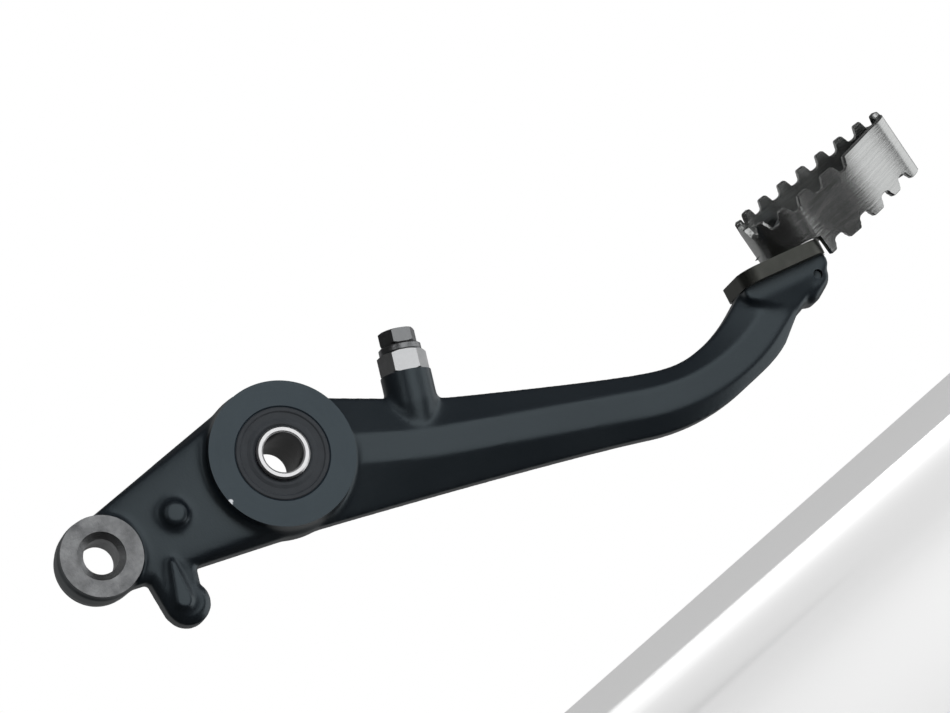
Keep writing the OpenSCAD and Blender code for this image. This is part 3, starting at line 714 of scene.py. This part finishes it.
def gap_profile(top_half, slope, corner, deep, tip=0.7):
    """Half a gap between teeth, from its floor out to the tip of the next tooth.

    It is top_half wide at the top and narrower by slope below, with round corners.
    """
    flat = top_half - slope - corner
    return ([(flat + corner * math.sin(a), corner * (1 - math.cos(a)) - deep)
             for a in np.linspace(0, math.pi / 2, 6)]
            + [(top_half + tip * (1 - math.cos(a)), tip * (math.sin(a) - 1))
               for a in np.linspace(0, math.pi / 2, 5)])


# Middles of the gaps along each wall, their form, and the height of the tips: the outer
# wall (-1) has five gaps that spread towards the front, the inner wall (1) nine even ones
TOOTH_PITCH, TOOTH_SPREAD = 7.6, 0.45
OUTER_GAP, INNER_GAP = gap_profile(2.7, 0.7, 1.4, 3.4), gap_profile(2.2, 0.4, 1.4, 3.2)
walls = {
    -1: ([3.75 + TOOTH_PITCH * i + TOOTH_SPREAD * i * i for i in range(5)], OUTER_GAP, 17.5),
    1: ([4.8 + TOOTH_PITCH * i for i in range(9)], INNER_GAP, 18.6)}
LOWER_GAP, LOWER_GAPS = gap_profile(2.9, 0.5, 1.8, LOWER_DEEP), (27.6, 38.4, 49.2, 59.0)


def cut_depth(s, gaps, profile):
    """How far below the tips the edge lies, s millimetres round the wall."""
    off = min(abs(s - g) for g in gaps)
    return np.interp(off, [x for x, _ in profile], [z for _, z in profile])


def wall_place(s, side):
    """Point on the wall and its outward direction, s millimetres from the nose."""
    if s < NOSE_ARC:
        a = math.pi - s / NOSE_R
        x, y = NOSE_R * math.cos(a), NOSE_R * math.sin(a)
    elif s < NOSE_ARC + WALL:
        a = math.pi / 2 - TAPER
        t, h = (s - NOSE_ARC) / WALL, BULGE if side < 0 else 0
        swell = h * math.sin(math.pi * t) ** 2
        x = (NOSE_R + swell) * math.cos(a) + (s - NOSE_ARC) * math.cos(TAPER)
        y = (NOSE_R + swell) * math.sin(a) - (s - NOSE_ARC) * math.sin(TAPER)
        a += math.atan(math.pi * h / WALL * math.sin(2 * math.pi * t))
    else:
        a = math.pi / 2 - TAPER - (s - NOSE_ARC - WALL) / FRONT_R
        x, y = SPAN + FRONT_R * math.cos(a), FRONT_R * math.sin(a)
    return x, y * side, math.cos(a), math.sin(a) * side


def plate_line(x, y):
    """Height at which the oblique base plate meets the strip."""
    level = (PLATE_TOP - (x + PLATE_END) * math.sin(PLATE_SLOPE)) / math.cos(PLATE_SLOPE)
    return (level - STRIP_LIFT - y * math.sin(TILT)) / math.cos(TILT)


def on_tread(x, y, z):
    """Place on the leaning loop: x to the front, y across, z up along the strip."""
    c, s = math.cos(TILT), math.sin(TILT)
    return drawn(*SEAT) + Vector((x + PLATE_END, y * c - z * s,
                                  STRIP_LIFT + y * s + z * c)) * MM


def columns_of(side):
    """Columns of the strip along one wall: place, direction out, lower and upper edge."""
    gaps, profile, tips = walls[side]
    whole = NOSE_ARC + WALL + FRONT_ARC
    stops = set(np.arange(0, whole, COLUMN_STEP)) | {whole}
    for places, form in ((gaps, profile), (LOWER_GAPS, LOWER_GAP)):
        for g in places:
            stops |= {g + sign * x for x, _ in form for sign in (-1, 1)}
    step = NOSE_ARC + (SKIRT_END - NOSE_R * math.sin(TAPER)) / math.cos(TAPER)
    stops = sorted(s for s in stops | {step, step + 0.02} if 0 <= s <= whole)
    stops = [s for i, s in enumerate(stops) if i == 0 or s - stops[i - 1] > 1e-4]
    columns = []
    for s in stops:
        x, y, nx, ny = wall_place(s, side)
        free = -LOWER_DEEP - cut_depth(s, LOWER_GAPS, LOWER_GAP)
        low = plate_line(x, y) if x < SKIRT_END else free
        columns.append((x, y, nx, ny, low, tips + cut_depth(s, gaps, profile)))
    return columns


def strip_ring(x, y, nx, ny, low, top):
    """Eight corners of the strip's section, its edges broken except where it is welded."""
    low_rim = 0 if x < SKIRT_END else RIM
    return [on_tread(x - nx * depth, y - ny * depth, z) for depth, z in (
        (RIM, low), (0, low + low_rim), (0, top - RIM), (RIM, top),
        (WALL_T - RIM, top), (WALL_T, top - RIM), (WALL_T, low + low_rim),
        (WALL_T - RIM, low))]


strip = bmesh.new()
loop = columns_of(-1)[:-1] + columns_of(1)[::-1][:-1]
rings = [[strip.verts.new(p) for p in strip_ring(*column)] for column in loop]
for a, b in zip(rings, rings[1:] + rings[:1]):
    for i in range(8):
        j = (i + 1) % 8
        strip.faces.new((a[i], a[j], b[j], b[i]))
bmesh.ops.recalc_face_normals(strip, faces=strip.faces[:])
visible(strip, "toothed_strip", brushed, "pedal", "tread_loop")

# Studio: a pale floor lower than the pressed toe reaches, a large soft lamp in front and
# above, a weaker one behind, and grey cards that only gloss can see, as in a light tent.
# The camera stands to the lower left of the pivot, which it shows at PIVOT_PIXEL.
CAMERA_BACK, DISTANCE, SENSOR = (-0.218, -0.274, 0.937), 1500.0, 36.0
FOCAL_PIXELS, FRAME_W, FRAME_H, PIVOT_PIXEL = 5110.7, 950, 713, (275.0, 463.3)
FLOOR_BELOW, FLOOR_HALF = 66.0, 3000.0
LEFT, RIGHT, FAR_RIGHT, BOTTOM, TOP, BEHIND = -700, 1000, 1600, -450, 700, -700


def drawn_dir(vector):
    """A direction given as (u, v, w), in the part's frame."""
    return drawn(*vector) / MM


back = Vector(CAMERA_BACK).normalized()
right = Vector((0, 1, 0)).cross(back).normalized()
up = back.cross(right)
offset = (right * ((PIVOT_PIXEL[0] - FRAME_W / 2) / FOCAL_PIXELS)
          + up * (-(PIVOT_PIXEL[1] - FRAME_H / 2) / FOCAL_PIXELS) - back) * DISTANCE
camera = bpy.data.objects.new("camera", bpy.data.cameras.new("camera"))
bpy.context.scene.collection.objects.link(camera)
turn = Matrix((drawn_dir(right), drawn_dir(up), drawn_dir(back))).transposed().to_4x4()
camera.matrix_world = Matrix.Translation(drawn(*(-offset))) @ turn
camera.data.sensor_width = SENSOR
camera.data.lens = FOCAL_PIXELS * SENSOR / FRAME_W
camera.data.clip_start = 0.05
camera.data.dof.use_dof = False
bpy.context.scene.camera = camera

world = bpy.data.worlds.new("studio")
bpy.context.scene.world = world
world.use_nodes = True
sky = world.node_tree
sky.nodes.clear()
rays = put(sky, "ShaderNodeLightPath")
seen = put(sky, "ShaderNodeMath", operation="MAXIMUM")
wire(sky, rays, "Is Camera Ray", seen, 0)
wire(sky, rays, "Is Glossy Ray", seen, 1)
seen_all = put(sky, "ShaderNodeMath", operation="MAXIMUM")
wire(sky, seen, "Value", seen_all, 0)
wire(sky, rays, "Is Transmission Ray", seen_all, 1)
level = put(sky, "ShaderNodeMapRange", {"To Min": 0.55, "To Max": 1.0})
wire(sky, seen_all, "Value", level, "Value")
white = put(sky, "ShaderNodeBackground", {"Color": (1, 1, 1, 1)})
wire(sky, level, "Result", white, "Strength")
output = put(sky, "ShaderNodeOutputWorld")
wire(sky, white, "Background", output, "Surface")


def lamp(name, way, distance, size, power):
    """A soft round lamp that lights the part but doesn't show in its gloss."""
    data = bpy.data.lights.new(name, "AREA")
    data.shape = "DISK"
    data.size = size
    data.energy = power
    made = bpy.data.objects.new(name, data)
    bpy.context.scene.collection.objects.link(made)
    middle = (cad_box[0] + cad_box[1]) / 2
    way = Vector(way).normalized()
    made.location = middle + way * distance
    made.rotation_mode = "QUATERNION"
    made.rotation_quaternion = way.to_track_quat("Z", "Y")
    made.visible_glossy = False


lamp("key", drawn_dir((0.1, 0.6, 0.9)), distance=1.1, size=0.5, power=9.0)
lamp("fill", drawn_dir((0.3, 0.6, -0.9)), distance=1.3, size=0.8, power=6.0)


def card(name, grey, *corners):
    """A grey card beside the pedal that only gloss can see, its corners drawn as u, v, w."""
    mesh = bmesh.new()
    mesh.faces.new([mesh.verts.new(drawn(*corner)) for corner in corners])
    data = bpy.data.meshes.new(name)
    mesh.to_mesh(data)
    mesh.free()
    made = bpy.data.objects.new(name, data)
    bpy.context.scene.collection.objects.link(made)
    glow = bpy.data.materials.new(name)
    glow.use_nodes = True
    glow.node_tree.nodes.clear()
    emit = put(glow.node_tree, "ShaderNodeEmission", {"Strength": grey})
    out = put(glow.node_tree, "ShaderNodeOutputMaterial")
    wire(glow.node_tree, emit, "Emission", out, "Surface")
    data.materials.append(glow)
    for rays_name in ("camera", "diffuse", "transmission", "shadow", "volume_scatter"):
        setattr(made, "visible_" + rays_name, False)


card("card_below", 0.02, (-900, BOTTOM, -900), (RIGHT, BOTTOM, -900), (RIGHT, BOTTOM, 500),
     (-900, BOTTOM, 500))
card("card_below_front", 0.02, (-900, BOTTOM, 500), (RIGHT, BOTTOM, 500), (RIGHT, -150, 1100),
     (-900, -150, 1100))
card("card_left", 0.05, (LEFT, BOTTOM, -900), (LEFT, BOTTOM, 700), (LEFT, TOP, 700),
     (LEFT, TOP, -900))
card("card_above", 0.07, (LEFT, 650, -900), (500, 650, -900), (500, 650, 750),
     (LEFT, 650, 750))
card("card_back", 0.25, (LEFT, BOTTOM, BEHIND), (FAR_RIGHT, BOTTOM, BEHIND),
     (FAR_RIGHT, TOP, BEHIND), (LEFT, TOP, BEHIND))
card("card_left_front", 0.05, (LEFT, BOTTOM, 1000), (-170, BOTTOM, 1000), (-170, TOP, 1000),
     (LEFT, TOP, 1000))
card("card_right_front", 0.045, (520, BOTTOM, 950), (860, BOTTOM, 454), (860, 420, 454),
     (520, 420, 950))

floor_mesh = bmesh.new()
bmesh.ops.create_grid(floor_mesh, x_segments=1, y_segments=1, size=FLOOR_HALF * MM,
                      matrix=Matrix.Translation((0, 0, cad_box[0].z - FLOOR_BELOW * MM)))
floor_data = bpy.data.meshes.new("floor")
floor_mesh.to_mesh(floor_data)
floor_mesh.free()
floor = bpy.data.objects.new("floor", floor_data)
bpy.context.scene.collection.objects.link(floor)
paper, tree, shader = finish_of("floor_paper", (0.86, 0.86, 0.86), 0.9)
see_through = put(tree, "ShaderNodeBsdfTransparent")
mixed = put(tree, "ShaderNodeMixShader")
under = put(tree, "ShaderNodeNewGeometry")
wire(tree, under, "Backfacing", mixed, 0)
wire(tree, shader, "BSDF", mixed, 1)
wire(tree, see_through, "BSDF", mixed, 2)
tree.links.new(mixed.outputs[0], tree.nodes["Material Output"].inputs["Surface"])
floor_data.materials.append(paper)
floor.visible_glossy = False

bpy.context.scene.view_settings.view_transform = "Standard"
